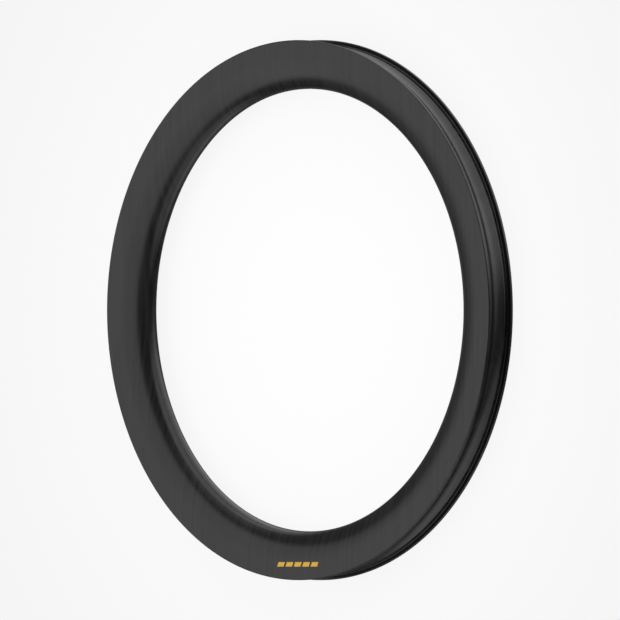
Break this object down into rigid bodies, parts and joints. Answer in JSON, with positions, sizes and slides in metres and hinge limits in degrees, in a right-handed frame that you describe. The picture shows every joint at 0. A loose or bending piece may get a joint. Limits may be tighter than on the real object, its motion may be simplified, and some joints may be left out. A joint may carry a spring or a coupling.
{
  "type": "bicycle rim",
  "caption": "Deep-section hollow bicycle rim with low straight flanges, a dropped tyre well, flat sides that curve into a rounded nose, and a hole for the tyre valve.",
  "frame": {"origin": "centre of the wheel, on its axis and on the rim's middle plane", "axes": "+Z along the wheel's axis, up from the side that the rim lies on; +Y from the axis towards the valve hole"},
  "size_m": [0.6323, 0.6322, 0.0404],
  "materials": {
    "carbon_laminate": "satin clear coat over black unidirectional carbon fibre"
  },
  "bodies": {
    "root": {"rim": "carbon_laminate"}
  },
  "joints": []
}
